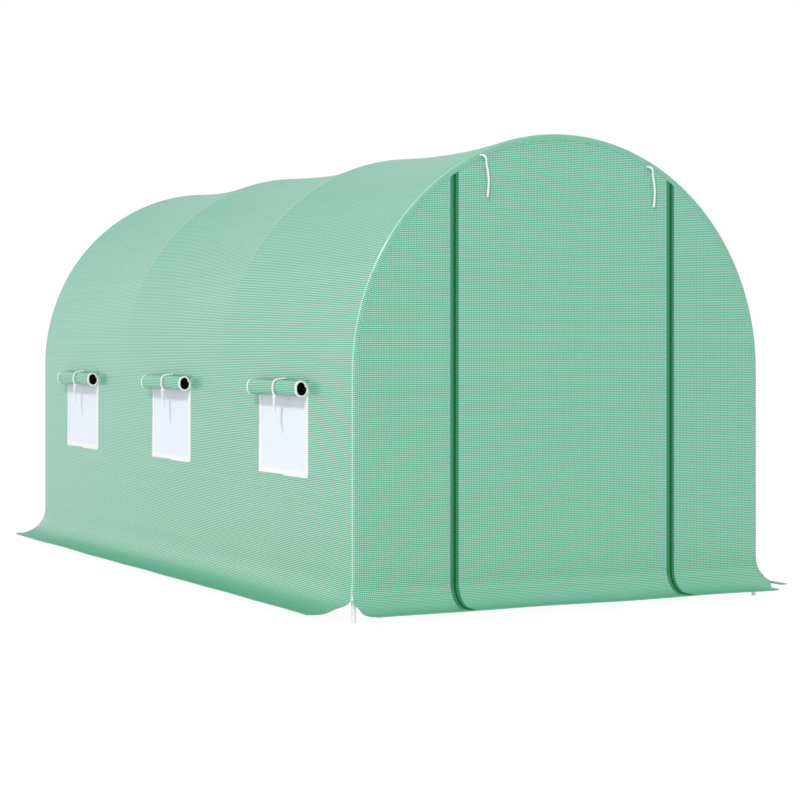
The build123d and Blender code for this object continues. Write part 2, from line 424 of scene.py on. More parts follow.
# Weave of the roof, drawn wider up to a turn above the wall and evened out towards the crown
stretch_share = 0.85
stretch_turn = 0.80
stretch_end = 1 - stretch_share + stretch_share * cos(stretch_turn)
roof_evening = (0.30, 1.10, 0.0, 0.85)

# Flaps, with painted shade that darkens them towards the lip and a weave that blurs, and patches all over the cover
flap_evening = 0.7
flap_shade_share = 0.36
flap_shade_green = (0.012, 0.300, 0.145, 1)
side_flap_from = wall_run + 0.065
side_flap_full = wall_run + 0.185
end_flap_from = end_bend_top - 0.04
end_flap_full = end_bend_top - end_flap_run
patch_scale = 1.7
patch_detail = 4.0
patch_tint = 0.08
patch_green = (0.30, 0.60, 0.44, 1)

# Dust, which dulls the gloss
roof_dust = 0.62
roof_dust_edge = 0.35 * roof_run
flap_dust = 0.80
roll_dust = 0.30

# Painted highlights: pale lines along the bend round the end hoops and over the inner hoops, with each line's half
# width and soft edge
bend_highlight_place = end_edge + 0.43 * wrap_run
bend_highlight_line = (0.0012, 0.0040)
bend_highlight_rise = (0.12 * roof_run, 0.60 * roof_run, 0.14, 0.52)
bend_highlight_evenness = 0.6
hoop_highlight_line = (0.002, 0.014)
hoop_highlight_fade = (0.30 * roof_run, 0.85 * roof_run, 0.22, 0.0)
highlight_white = (0.90, 0.96, 0.93, 1)
sun_start = -0.4 * half_length
side_bleach = 0.6

# Seam of the front flap, and the painted shade that blackens the inside of a roll
flap_seam_turn = asin((end_bend_top - flap_seam_height) / end_bend_radius)
flap_seam = end_bend_top - end_bend_radius * flap_seam_turn
seam_line = (0.0010, 0.0026)
seam_tint = 0.3
seam_green = (0.010, 0.26, 0.13, 1)
core_shade_run = 0.02
core_shade_black = (0.002, 0.004, 0.003, 1)

# Stitches, ribs of tape and the mesh
stitch_line = (0.0004, 0.0009)
zip_stitch_row = 0.0165
zip_stitch_pitch = 0.006
zip_stitch_gap = (0.12, 0.18)
zip_rib = 0.0022
border_stitch_rows = (0.004, 0.026)
border_stitch_pitch = 0.007
border_stitch_gap = (0.10, 0.16)
border_rib = 0.0016
binding_rib = 0.0014
mesh_pitch = 0.006
mesh_thread = (0.06, 0.20)


def side_flap(finish, along):
    """Return 0 on the side cover's wall and 1 far down its flap."""
    return finish.rise(along.math("ABSOLUTE"), side_flap_from, side_flap_full)


def side_dust(finish, along):
    """Return the dust on the side cover: on the roof and on the flaps."""
    roof = finish.rise(along.math("ABSOLUTE"), roof_dust_edge, roof_run, roof_dust, 0.0)
    return roof + side_flap(finish, along) * flap_dust


def end_flap(finish, along):
    """Return 0 on an end wall and 1 far down its flap."""
    return finish.rise(along, end_flap_full, end_flap_from, 1.0, 0.0)


def end_dust(finish, along):
    """Return the dust on an end wall, which lies on its flap."""
    return end_flap(finish, along) * flap_dust


def roof_climb(along):
    """Return the angle up the roof from the top of the wall, which is 0 on the wall."""
    return ((roof_run - along.math("ABSOLUTE")) / roof_radius).math("MAXIMUM", 0.0)


def drawn_weft(along, climb):
    """Return the place along the side cover as its weave counts it, drawn wider up the roof."""
    lower = climb.math("MINIMUM", stretch_turn)
    drawn = lower * (1 - stretch_share) + lower.math("SINE") * stretch_share
    drawn = drawn + (climb - lower) * stretch_end
    return along.math("ABSOLUTE").math("MAXIMUM", roof_run) - drawn * roof_radius


def woven_cover(name, warp_share, dust=None, flap=None, crease=None, seam=None, core=None, bleach=None):
    """Green threads over a pale film, glossy but for where dust lies.

    Warp_share is how much of the film shows between warp threads, and the rest shows between weft threads.
    Dust and flap make shares from the place along the cloth, and the cloth of a roll has even dust and no
    flap; down a flap the weave blurs and painted shade darkens the green. Only the side cover is given the
    place where it bends round an end hoop: a painted highlight lies pale along that bend and over the inner
    hoops, and its weave changes up the roof. A darker sewn line lies at seam, and painted shade blackens the
    cloth past core, inside a roll. Bleach is the share of the weave lost to the sun at the back end, where it
    also lessens the flap's painted shade.
    """
    finish = Finish(name)
    across, along = finish.cloth_place()
    weft = along
    if crease is not None:
        climb = roof_climb(along)
        weft = drawn_weft(along, climb)
    gaps = []
    for place in (across, weft):
        gap = finish.zigzag(place, weave_pitch)
        gaps.append(finish.rise(gap, thread_half - thread_blur, thread_half + thread_blur))
    dusty = roll_dust if dust is None else dust(finish, along)
    low = 0.0 if flap is None else flap(finish, along)
    film = gaps[0] * warp_share + gaps[1] * (1 - warp_share)
    even = low * flap_evening
    if crease is not None:
        even = even.math("MAXIMUM", finish.rise(climb, *roof_evening))
    if bleach is not None:
        sun = finish.rise(across, sun_start, half_length, 0.0, bleach)
        even = even.math("MAXIMUM", sun)
        low = low * (1 - sun)
    film = film + (film_share - film) * even
    strand = (weft / weave_pitch).math("ROUND")
    tone = finish.add("ShaderNodeTexWhiteNoise", {"noise_dimensions": "1D"}, {"W": strand}, "Value")
    patch = finish.cloud(finish.object_place(), patch_scale, patch_detail)
    colour = finish.blend(film, finish.blend(tone, *thread_greens), film_white)
    colour = finish.blend(patch * patch_tint, colour, patch_green)
    # Painted shade: the cloth turns a darker green down the flap towards its lip
    colour = finish.blend(low * flap_shade_share, colour, flap_shade_green)
    # Painted highlights: pale lines along the bend round each end hoop and over the inner hoops
    if crease is not None:
        from_middle = across.math("ABSOLUTE")
        from_crown = along.math("ABSOLUTE")
        bend_highlight_mask = finish.line(from_middle - crease, *bend_highlight_line) * finish.rise(from_crown, *bend_highlight_rise)
        bend_highlight_mask = bend_highlight_mask * (bend_highlight_evenness + gaps[1] * (1 - bend_highlight_evenness))
        hoop_highlight_mask = finish.line(from_middle - bay_length / 2, *hoop_highlight_line) * finish.rise(from_crown, *hoop_highlight_fade)
        colour = finish.blend(bend_highlight_mask.math("MAXIMUM", hoop_highlight_mask), colour, highlight_white)
    if seam is not None:
        colour = finish.blend(finish.line(along - seam, *seam_line) * seam_tint, colour, seam_green)
    # Painted shade: the cloth of a roll's inner turns fades to black
    if core is not None:
        colour = finish.blend(finish.rise(along, core, core + core_shade_run), colour, core_shade_black)
    finish.dress({
        "Base Color": colour,
        "Roughness": 0.50 + dusty * 0.2,
        "Specular IOR Level": 0.10,
        "Coat Weight": 0.95 - dusty - patch * 0.1,
        "Coat Roughness": 0.20,
        "Normal": finish.relief((1 - film) * 0.5 + patch, 0.15, 0.0006),
    })
    return finish.material


def zip_cloth():
    """Dark green tape, with painted light that brightens it on the flap, ribs along it and a row of stitches near each
    edge.
    """
    finish = Finish("zip_tape")
    across, along = finish.cloth_place()
    rib = finish.zigzag(across, zip_rib)
    fleck = finish.cloud(finish.object_place(), 260.0)
    row = finish.line(across.math("ABSOLUTE") - zip_stitch_row, *stitch_line)
    stitch = row * finish.rise(finish.zigzag(along, zip_stitch_pitch), *zip_stitch_gap)
    colour = finish.blend(rib, (0.024, 0.192, 0.106, 1), (0.042, 0.272, 0.162, 1))
    colour = finish.blend(fleck * 0.4, colour, (0.020, 0.152, 0.084, 1))
    # Painted light: the tape turns a brighter green on the flap, which faces up
    colour = finish.blend(end_flap(finish, along) * 0.6, colour, (0.010, 0.200, 0.070, 1))
    colour = finish.blend(stitch, colour, (0.06, 0.30, 0.18, 1))
    finish.dress({
        "Base Color": colour,
        "Roughness": 0.62 + fleck * 0.15,
        "Normal": finish.relief(rib + stitch, 0.4, 0.0006),
    })
    return finish.material


def zip_plastic():
    """Moulded green teeth, hardly shiny."""
    finish = Finish("zip_teeth")
    fleck = finish.cloud(finish.object_place(), 90.0)
    colour = finish.blend(fleck, (0.002, 0.084, 0.013, 1), (0.004, 0.126, 0.024, 1))
    finish.dress({"Base Color": colour, "Roughness": 0.50 + fleck * 0.12, "Specular IOR Level": 0.12})
    return finish.material


def white_tape():
    """White woven tape with a row of stitches inside each edge of a window's border."""
    finish = Finish("white_tape")
    across, along = finish.cloth_place()
    rib = finish.zigzag(across + along, border_rib)
    fleck = finish.cloud(finish.object_place(), 40.0, 3.0)
    aside = across.math("ABSOLUTE")
    above = along.math("ABSOLUTE")
    from_end = (window_head - window_sill) / 2 - above
    inset = (window_half - aside).math("MINIMUM", from_end)
    outer_row, inner_row = [finish.line(inset - row, *stitch_line) for row in border_stitch_rows]
    dashes = finish.rise(finish.zigzag(aside + above, border_stitch_pitch), *border_stitch_gap)
    stitch = (outer_row + inner_row) * dashes
    colour = finish.blend(fleck, (0.86, 0.87, 0.87, 1), (0.92, 0.92, 0.91, 1))
    colour = finish.blend(stitch * 0.5, colour, (0.62, 0.64, 0.64, 1))
    finish.dress({
        "Base Color": colour,
        "Roughness": 0.60 + fleck * 0.1,
        "Normal": finish.relief(rib * 0.5 - stitch, 0.3, 0.0005),
    })
    return finish.material


def binding_tape():
    """Plain white edge binding of the rolled flaps."""
    finish = Finish("white_binding")
    rib = finish.zigzag(finish.cloth_place()[1], binding_rib)
    fleck = finish.cloud(finish.object_place(), 60.0)
    finish.dress({
        "Base Color": finish.blend(fleck, (0.84, 0.85, 0.85, 1), (0.92, 0.92, 0.91, 1)),
        "Roughness": 0.58 + fleck * 0.1,
        "Normal": finish.relief(rib, 0.3, 0.0004),
    })
    return finish.material


def screen_net():
    """Pale insect mesh with a faint square grid."""
    finish = Finish("screen_mesh")
    lines = []
    for place in finish.cloth_place():
        lines.append(finish.rise(finish.zigzag(place, mesh_pitch), *mesh_thread, 1.0, 0.0))
    grid = lines[0].math("MAXIMUM", lines[1])
    haze = finish.cloud(finish.object_place(), 9.0)
    colour = finish.blend(grid, (0.89, 0.90, 0.965, 1), (0.72, 0.75, 0.89, 1))
    colour = finish.blend(haze * 0.35, colour, (0.90, 0.91, 0.97, 1))
    finish.dress({
        "Base Color": colour,
        "Roughness": 0.72,
        "Alpha": 0.97 + grid * 0.03,
        "Normal": finish.relief(grid, 0.25, 0.0005),
    })
    return finish.material


def braided_cord():
    """White braid: two sets of strands that wind round the cord."""
    finish = Finish("white_cord")
    place = finish.object_place()
    strands = finish.add(
        "ShaderNodeTexWave",
        {"wave_type": "BANDS", "bands_direction": "DIAGONAL"},
        {"Vector": place, "Scale": 95.0, "Distortion": 1.2, "Detail": 1.0},
        "Fac",
    )
    finish.dress({
        "Base Color": finish.blend(strands, (0.76, 0.76, 0.75, 1), (0.93, 0.93, 0.92, 1)),
        "Roughness": 0.70 - strands * 0.1,
        "Normal": finish.relief(strands, 0.5, 0.0008),
    })
    return finish.material


def galvanised_tube():
    """Dull zinc with a faint spangle and a few darker runs."""
    finish = Finish("galvanised_tube")
    place = finish.object_place()
    spangle = finish.add("ShaderNodeTexVoronoi", {}, {"Vector": place, "Scale": 160.0}, "Color")
    grey = finish.add("ShaderNodeSeparateColor", {}, {0: spangle}, 0)
    runs = finish.cloud(place, 14.0, 4.0)
    colour = finish.blend(grey, (0.88, 0.88, 0.885, 1), (0.94, 0.94, 0.94, 1))
    colour = finish.blend(runs * 0.25, colour, (0.80, 0.80, 0.81, 1))
    finish.dress({
        "Base Color": colour,
        "Metallic": 0.45,
        "Roughness": 0.28 + grey * 0.08,
        "Normal": finish.relief(runs, 0.1, 0.0008),
    })
    return finish.material


cover_finish = woven_cover(
    "woven_cover", side_warp_share, side_dust, side_flap, crease=bend_highlight_place, bleach=side_bleach)
front_finish = woven_cover("woven_front", front_warp_share, end_dust, end_flap, seam=flap_seam)
zip_finish = zip_cloth()
teeth_finish = zip_plastic()
tape_finish = white_tape()
binding_finish = binding_tape()
net_finish = screen_net()
cord_finish = braided_cord()
tube_finish = galvanised_tube()


def settle(piece, finish, slot, *nodes):
    """Give a finished piece its material, body and slot, and let it stand for its CAD nodes."""
    piece.data.materials.clear()
    piece.data.materials.append(finish)
    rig.ride(piece, "root")
    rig.slot(piece, slot)
    if nodes:
        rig.replaces(piece, *nodes)
    return piece


def use_modifier(piece, kind, **settings):
    """Add a modifier to a piece and apply it."""
    bpy.ops.object.select_all(action="DESELECT")
    piece.select_set(True)
    bpy.context.view_layer.objects.active = piece
    modifier = piece.modifiers.new(kind.lower(), kind)
    for name, value in settings.items():
        setattr(modifier, name, value)
    bpy.ops.object.modifier_apply(modifier=modifier.name)


def cloth(name, columns, rows, flat, place, drop=None):
    """Add a sheet as a grid whose crossings lie at place(flat(column, row)), and drop some of its faces.

    The UV map holds each crossing's place on the flat cloth.
    """
    bpy.ops.object.select_all(action="DESELECT")
    bpy.ops.mesh.primitive_grid_add(x_subdivisions=columns, y_subdivisions=rows, size=1)
    piece = bpy.context.object
    piece.name = name
    piece.data.name = name
    flats = []
    for vertex in piece.data.vertices:
        column = round((vertex.co.x + 0.5) * columns)
        row = round((vertex.co.y + 0.5) * rows)
        flats.append(flat(column, row))
        vertex.co = place(*flats[-1])
    uv = piece.data.uv_layers.active.data
    for loop in piece.data.loops:
        uv[loop.index].uv = flats[loop.vertex_index]
    if drop:
        for face in piece.data.polygons:
            corners = [flats[index] for index in face.vertices]
            face.select = drop(*[sum(values) / len(corners) for values in zip(*corners)])
        bpy.context.tool_settings.mesh_select_mode = (False, False, True)
        bpy.ops.object.mode_set(mode="EDIT")
        bpy.ops.mesh.delete(type="FACE")
        bpy.ops.object.mode_set(mode="OBJECT")
    return piece


def face_outwards(piece):
    """Turn a sheet's faces away from the tunnel's middle."""
    middle = Vector((0, 0, wall_top / 2))
    if sum((face.center - middle).dot(face.normal) * face.area for face in piece.data.polygons) < 0:
        bpy.ops.object.mode_set(mode="EDIT")
        bpy.ops.mesh.select_all(action="SELECT")
        bpy.ops.mesh.flip_normals()
        bpy.ops.object.mode_set(mode="OBJECT")


def thicken(piece, thickness, offset=-1.0):
    """Give a sheet its thickness and smooth its faces."""
    use_modifier(piece, "SOLIDIFY", thickness=thickness, offset=offset, use_even_offset=True)
    bpy.ops.object.shade_smooth_by_angle(angle=smooth_angle)


def ripple(place, length, seed):
    """Return smooth noise from about -1 to 1, with swells of about a length."""
    return noise.noise(Vector((place / length, 0, seed)))


def flap_section(run, top, lip):
    """Return how far a flap reaches out, its height and how far it has turned, run below its bend's top."""
    radius = top - lip_height
    turn = min(run / radius, pi / 2)
    reach = radius * (1 - cos(turn))
    height = top - radius * sin(turn)
    past = run - radius * pi / 2
    if past > 0:
        reach += min(past, lip)
        height -= max(past - lip, 0) * hem_slope
    return reach, height, turn


def flap_reach(height, top):
    """Return how far a flap reaches out at a height."""
    radius = top - lip_height
    drop = min(max(top - height, 0.0), radius)
    return radius - sqrt(radius**2 - drop**2)


def smooth(value, low, high):
    """Return a smooth step from 0 to 1 as value goes from low to high."""
    share = min(max((value - low) / (high - low), 0.0), 1.0)
    return share * share * (3 - 2 * share)


def at_corner(from_corner, height, corner):
    """Return how far a flap's cloth is held by its neighbour next to a corner, the left or right one."""
    near = exp(-((max(from_corner, 0.0) / corner_run) ** 2))
    return near * smooth(height, *corner_heights[corner])


def corner_cut(from_corner):
    """Return how much shorter a flap is cut where its corner is rounded."""
    inside = min(max(flap_corner_radius - from_corner, 0.0), flap_corner_radius)
    return flap_corner_radius - sqrt(flap_corner_radius**2 - inside**2)


def sag(along, angle):
    """Return how far the roof dips between two hoops, angle from the crown."""
    bay = min(max(int((along + end_hoop) / bay_length), 0), len(bay_sags) - 1)
    share = (along + end_hoop) / bay_length - bay
    if not 0 < share < 1:
        return 0.0
    slack = crown_sag + bay_sags[bay] * (1 - exp(-((angle / crown_angle) ** 2)))
    return 4 * share * (1 - share) * slack * max(cos(angle), 0.0) ** sag_power


def on_side_cover(along, down):
    """Carry flat cloth to the side cover: along the tunnel, and down from the crown to the right."""
    side = 1 if down > 0 else -1
    run = abs(down)
    end = 1 if along > 0 else -1
    corner = side != end
    level = min(abs(along), end_edge) * end
    turn = min(max(abs(along) - end_edge, 0) / wrap_radius, pi / 2)
    lap = max(abs(along) - end_edge - wrap_run, 0)
    if run <= wall_run:
        angle = min(run, roof_run) / roof_radius
        out = Vector((side * sin(angle), 0, cos(angle)))
        middle = Vector((0, level, wall_top - max(run - roof_run, 0)))
        axis = middle + out * (roof_radius - wrap_radius - sag(along, angle))
    else:
        reach, height, _ = flap_section(run - wall_run, flap_top, side_lip)
        held = at_corner(end_edge - abs(along), height, corner)
        out = Vector((side, 0, 0))
        wave = (run - wall_run) / (hem_run - wall_run)
        height += lift_wave * wave * ripple(along, lift_wave_length, side)
        level += end * flap_reach(height, end_bend_top) * held * end_corner_share
        reach *= 1 - held * (1 - side_corner_shares[corner])
        reach += reach_wave * wave * ripple(along, reach_wave_length, side + side_reach_seed)
        axis = Vector((side * (roof_radius - wrap_radius + reach), level, height))
    return axis + out * (wrap_radius * cos(turn) - lap) + Vector((0, end, 0)) * wrap_radius * sin(turn)


def in_window(along, down):
    """Say whether a place on the side cover lies in a window's opening."""
    height = wall_top - (abs(down) - roof_run)
    if not screen_sill < height < screen_head:
        return False
    return any(abs(along - place) < screen_half for place in bay_places)


def past_slit(along, down):
    """Say whether a place on the side cover lies in the open corner between two flaps."""
    return abs(along) > end_edge and abs(down) > slit_run


def side_cover():
    """The one long sheet: flap, wall, roof, wall and flap, wrapped round both end hoops."""
    side = spread(
        (0, roof_run, 44), (roof_run, roof_run + wall_top - screen_head, 2),
        (roof_run + wall_top - screen_head, roof_run + wall_top - screen_sill, 10),
        (roof_run + wall_top - screen_sill, wall_run, 8), (wall_run, slit_run, 7),
        (slit_run, curve_run, 10), (curve_run, hem_run - hem_drop, 3), (hem_run - hem_drop, hem_run, 2),
    )
    downs = [-run for run in reversed(side[1:])] + side
    outer = end_edge + wrap_run
    spans = [(-outer - seam_lap, -outer, 1), (-outer, -end_edge, 8)]
    hoops = [-end_edge, -bay_length / 2, bay_length / 2, end_edge]
    for near, place, far in zip(hoops, bay_places, hoops[1:]):
        spans += [
            (near, near + hoop_margin, 8), (near + hoop_margin, place - screen_half, 12),
            (place - screen_half, place + screen_half, 14), (place + screen_half, far - hoop_margin, 12),
            (far - hoop_margin, far, 8),
        ]
    alongs = spread(*spans, (end_edge, outer, 8), (outer, outer + seam_lap, 1))

    def flat_place(column, row):
        along, down = alongs[column], downs[row]
        past = max(abs(down) - slit_run, 0.0) / (hem_run - slit_run)
        cut = past * corner_cut(end_edge - abs(along))
        return along, down - cut if down > 0 else down + cut

    piece = cloth(
        "side_cover", len(alongs) - 1, len(downs) - 1, flat_place, on_side_cover,
        lambda along, down: in_window(along, down) or past_slit(along, down),
    )
    face_outwards(piece)
    thicken(piece, cover_sheet)
    nodes = ["left_wall", "right_wall", "left_flap", "right_flap", "front_piping", "back_piping"]
    settle(piece, cover_finish, "cover", "roof_bay_1", "roof_bay_2", "roof_bay_3", *nodes)
    flat = (2 * (end_edge + wrap_run + seam_lap), 2 * hem_run)
    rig.sheet(piece, flat=flat, held="stretched", rests_on=["left_arches", "right_arches"])


def arch_height(across, radius):
    """Return the height of an arch over a place across the tunnel."""
    return wall_top + sqrt(max(radius**2 - across**2, 0))


def on_front(across, up, lift=0.0):
    """Carry flat cloth to the door end: across, and up the cloth, with its height above the flap true."""
    face = half_length - cover_sheet + lift
    if up >= end_bend_top:
        return Vector((across, -face, up))
    side = 1 if across > 0 else -1
    from_corner = hoop_radius - abs(across)
    reach, height, turn = flap_section(end_bend_top - up, end_bend_top, end_lip)
    held = at_corner(from_corner, height, across > 0)
    flare = flap_reach(height, flap_top) * held * side_corner_shares[across > 0]
    reach *= 1 - held * (1 - end_corner_share)
    wave = (end_bend_top - up) / end_flap_run
    height += lift_wave * wave * ripple(across, lift_wave_length, front_lift_seed)
    reach += reach_wave * wave * ripple(across, reach_wave_length, front_reach_seed)
    out = -face + lift - reach - lift * cos(turn)
    return Vector((across + side * flare, out, height + lift * sin(turn)))


flap_rows = spread(
    (-end_flap_run, hem_drop - end_flap_run, 2), (hem_drop - end_flap_run, -end_curve_run, 4),
    (-end_curve_run, 0, 18),
)


def end_cloth(name, acrosses, radius, rows, place):
    """Add a sheet of an end wall with its flap, cut off along an arch of that radius."""
    def flat(column, row):
        across = acrosses[column]
        if row < len(flap_rows):
            cut = corner_cut(hoop_radius - abs(across))
            return across, end_bend_top + flap_rows[row] * (1 - cut / end_flap_run)
        share = (row - len(flap_rows) + 1) / rows
        return across, end_bend_top + share * (arch_height(across, radius) - end_bend_top)

    piece = cloth(name, len(acrosses) - 1, len(flap_rows) - 1 + rows, flat, place)
    face_outwards(piece)
    return piece


def cut_area(acrosses, radius):
    """Return the flat area of an end wall's sheet."""
    area = 0.0
    for near, far in zip(acrosses, acrosses[1:]):
        middle = (near + far) / 2
        area += (far - near) * (arch_height(middle, radius) - end_bend_top + end_flap_run)
    return area


def end_sheet(name, start, end, count, finish, place, *nodes):
    """One panel of an end wall, between two angles of the arch."""
    acrosses = [hoop_radius * sin(angle) for angle in spread((start, end, count))]
    piece = end_cloth(name, acrosses, hoop_radius, 50, place)
    thicken(piece, cover_sheet)
    settle(piece, finish, "cover", *nodes)
    nearest = 0 if start * end < 0 else min(abs(acrosses[0]), abs(acrosses[-1]))
    length = arch_height(nearest, hoop_radius) - end_bend_top + end_flap_run
    flat = (acrosses[-1] - acrosses[0], length)
    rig.sheet(piece, flat, "stretched", ["left_arches", "right_arches"], cut_area(acrosses, hoop_radius))


def end_walls():
    """The door between its zips, the panels beside it and the plain back wall."""
    door_edge = asin(zip_middle / hoop_radius)
    end_sheet(
        "door_sheet", -door_edge, door_edge, 36, front_finish, on_front, "door_panel", "door_flap")
    end_sheet(
        "front_right_sheet", door_edge, pi / 2, 24, front_finish, on_front,
        "front_right_panel", "front_right_flap")
    end_sheet(
        "front_left_sheet", -pi / 2, -door_edge, 24, front_finish, on_front,
        "front_left_panel", "front_left_flap")

    def on_back(across, up):
        place = on_front(across, up)
        return Vector((-place.x, -place.y, place.z))

    end_sheet("back_sheet", -pi / 2, pi / 2, 80, front_finish, on_back, "back_panel", "back_flap")


def door_zip(name, side):
    """A zip: a sewn tape and, along its middle, two rows of teeth that mesh."""
    middle = side * zip_middle
    acrosses = [middle + offset for offset in spread((-tape_half, tape_half, 8))]

    def on_tape(across, up):
        edge = abs(across - middle) / tape_half
        return on_front(across, up, tape_lift - tape_edge_drop * edge**4)

    tape = end_cloth(name + "_tape", acrosses, zip_radius, 60, on_tape)
    for corner in tape.data.uv_layers.active.data:
        corner.uv.x -= middle
    thicken(tape, tape_sheet)
    settle(tape, zip_finish, "zip_tape", name)
    length = zip_high[2] - end_bend_top + end_flap_run
    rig.sheet(tape, (2 * tape_half, length), "stretched", ["door_sheet"])

    crosses = [middle + offset * teeth_half for offset in teeth_profile]
    top = arch_height(middle, zip_radius)
    bottom = end_bend_top + hem_drop - end_flap_run
    ups = spread((bottom, top, round((top - bottom) / teeth_pitch * rows_per_tooth)))

    def on_teeth(across, up):
        offset = (across - middle) / teeth_half
        phase = up / teeth_pitch + (0.5 if offset > 0 else 0.0)
        tooth = 0.5 + 0.5 * cos(2 * pi * phase)
        dome = max(1 - offset**4, 0)
        lift = tape_lift + teeth_rise * dome * (teeth_low + (1 - teeth_low) * tooth)
        return on_front(across, up, lift)

    teeth = cloth(
        name + "_teeth", len(crosses) - 1, len(ups) - 1,
        lambda column, row: (crosses[column], ups[row]), on_teeth)
    face_outwards(teeth)
    thicken(teeth, tape_sheet)
    settle(teeth, teeth_finish, "zip_tape")


def wall_frame(side, place):
    """Return the matrix that stands a piece, x along, y up and z outwards, on a side wall at a window."""
    outwards = Vector((side, 0, 0))
    upwards = Vector((0, 0, 1))
    sideways = upwards.cross(outwards)
    matrix = Matrix((sideways, upwards, outwards)).transposed().to_4x4()
    matrix.translation = (side * roof_radius, place, window_middle)
    return matrix


def stand_on_wall(piece, side, place):
    """Carry a piece's mesh from the flat to a side wall at a window."""
    piece.data.transform(wall_frame(side, place))
    piece.data.update()


def window_screen(name, side, place):
    """The mesh, drawn a little inwards between its borders."""
    acrosses = spread((-screen_half, screen_half, 20))
    ups = spread((screen_sill - window_middle, screen_head - window_middle, 16))

    def on_screen(across, up):
        belly = (1 - (across / screen_half) ** 2) * (1 - (up / ups[-1]) ** 2)
        return Vector((across, up, -screen_set_back - screen_belly * belly))

    piece = cloth(name, 20, 16, lambda column, row: (acrosses[column], ups[row]), on_screen)
    thicken(piece, screen_sheet)
    stand_on_wall(piece, side, place)
    return piece


def window_border(name, side, place):
    """A flat tape frame with rounded outer corners, sewn round a window."""
    bpy.ops.object.select_all(action="DESELECT")
    bpy.ops.mesh.primitive_plane_add(size=1)
    piece = bpy.context.object
    piece.name = name
    piece.data.name = name
    bpy.ops.object.mode_set(mode="EDIT")
    bpy.ops.mesh.select_all(action="SELECT")
    bpy.ops.transform.resize(value=(2 * window_half, window_head - window_sill, 1))
    bpy.ops.mesh.inset(thickness=border_width)
    bpy.ops.mesh.delete(type="FACE")
    bpy.ops.mesh.select_all(action="DESELECT")
    bpy.ops.object.mode_set(mode="OBJECT")
    for vertex in piece.data.vertices:
        vertex.select = abs(vertex.co.x) > window_half - border_width / 2
    bpy.context.tool_settings.mesh_select_mode = (True, False, False)
    bpy.ops.object.mode_set(mode="EDIT")
    bpy.ops.mesh.bevel(offset=border_corner, segments=6, affect="VERTICES")
    bpy.ops.object.mode_set(mode="OBJECT")
    uv = piece.data.uv_layers.active.data
    for loop in piece.data.loops:
        uv[loop.index].uv = piece.data.vertices[loop.vertex_index].co.xy
    use_modifier(piece, "SOLIDIFY", thickness=border_sheet, offset=border_offset)
    use_modifier(piece, "BEVEL", width=border_round, segments=2, limit_method="ANGLE")
    bpy.ops.object.shade_smooth_by_angle(angle=smooth_angle)
    stand_on_wall(piece, side, place)
    return piece


def roll_path(half_turns, inset=0.0):
    """Return the rolled flap's section from its hem inwards: places out from the wall and up."""
    start = roll_gap + roll_cloth / 2 + inset
    lower = roll_low[2] + roll_radius + roll_cloth / 2
    upper = lower + roll_flat
    top = upper if inset else window_head + roll_hem
    path = [(start, height) for height in spread((top, lower, 6))[:-1]]
    for turn in range(half_turns):
        rising = turn % 2 == 1
        radius = roll_radius - roll_pitch * turn / 2 - inset
        centre = roll_gap + roll_cloth / 2 + roll_radius + (roll_pitch / 2 if rising else 0)
        height = upper if rising else lower
        first = 0 if rising else pi
        angles = spread((first, first + pi, roll_steps))
        path += [(centre + radius * cos(angle), height + radius * sin(angle)) for angle in angles]
    return path


def along_path(path):
    """Return the length of a section's line up to each of its points."""
    runs = [0.0]
    for (out, up), (next_out, next_up) in zip(path, path[1:]):
        runs.append(runs[-1] + hypot(next_out - out, next_up - up))
    return runs


def rolled_sheet(name, path, acrosses, thickness, side, place, drop=None):
    """A sheet that follows a section of the rolled flap at some places along the roll."""
    runs = along_path(path)

    def on_roll(across, run):
        out, up = path[runs.index(run)]
        loose = min(max((window_head + roll_hem - up) / roll_loose_run, 0.0), 1.0)
        up -= roll_droop * loose * (across / window_half) ** 2
        up += roll_wave * loose * ripple(across, roll_wave_length, place + side)
        return Vector((across, up - window_middle, out))

    piece = cloth(
        name, len(acrosses) - 1, len(path) - 1,
        lambda column, row: (acrosses[column], runs[row]), on_roll, drop)
    thicken(piece, thickness, 0.0)
    stand_on_wall(piece, side, place)
    return piece, runs[-1]


def route(points, side, place):
    """Carry a tie's route, out from the wall, along Y and up, to a window."""
    return [(side * (roof_radius + out), place + along, up) for out, along, up in points]


def tie(name, points, length, node):
    line = bpy.data.curves.new(name, "CURVE")
    line.dimensions = "3D"
    spline = line.splines.new("NURBS")
    spline.points.add(len(points) - 1)
    for control, point in zip(spline.points, points):
        control.co = (*point, 1)
    spline.order_u = 3
    spline.use_endpoint_u = True
    spline.resolution_u = 10
    line.bevel_depth = cord_radius
    line.bevel_resolution = 4
    line.use_fill_caps = True
    piece = bpy.data.objects.new(name, line)
    bpy.context.collection.objects.link(piece)
    settle(piece, cord_finish, "white_cord", node)
    return piece, dict(
        exit=points[0], length=length, diameter=2 * cord_radius,
        far_end="bare", stiffness="limp", lay="hanging")


def knot(name, place):
    """A pulled-tight overhand knot."""
    line = bpy.data.curves.new(name, "CURVE")
    line.dimensions = "3D"
    spline = line.splines.new("NURBS")
    turns = spread((0, 2 * pi, 24))[:-1]
    spline.points.add(len(turns) - 1)
    for control, turn in zip(spline.points, turns):
        bend = Vector((-sin(3 * turn) * 1.2, sin(turn) + 2 * sin(2 * turn), cos(turn) - 2 * cos(2 * turn)))
        control.co = (*(Vector(place) + bend * knot_size), 1)
    spline.order_u = 4
    spline.use_cyclic_u = True
    line.bevel_depth = cord_radius * knot_cord_share
    line.bevel_resolution = 3
    piece = bpy.data.objects.new(name, line)
    bpy.context.collection.objects.link(piece)
    bpy.ops.object.select_all(action="DESELECT")
    piece.select_set(True)
    bpy.context.view_layer.objects.active = piece
    bpy.ops.object.convert(target="MESH")
    piece = bpy.context.object
    return settle(piece, cord_finish, "white_cord")


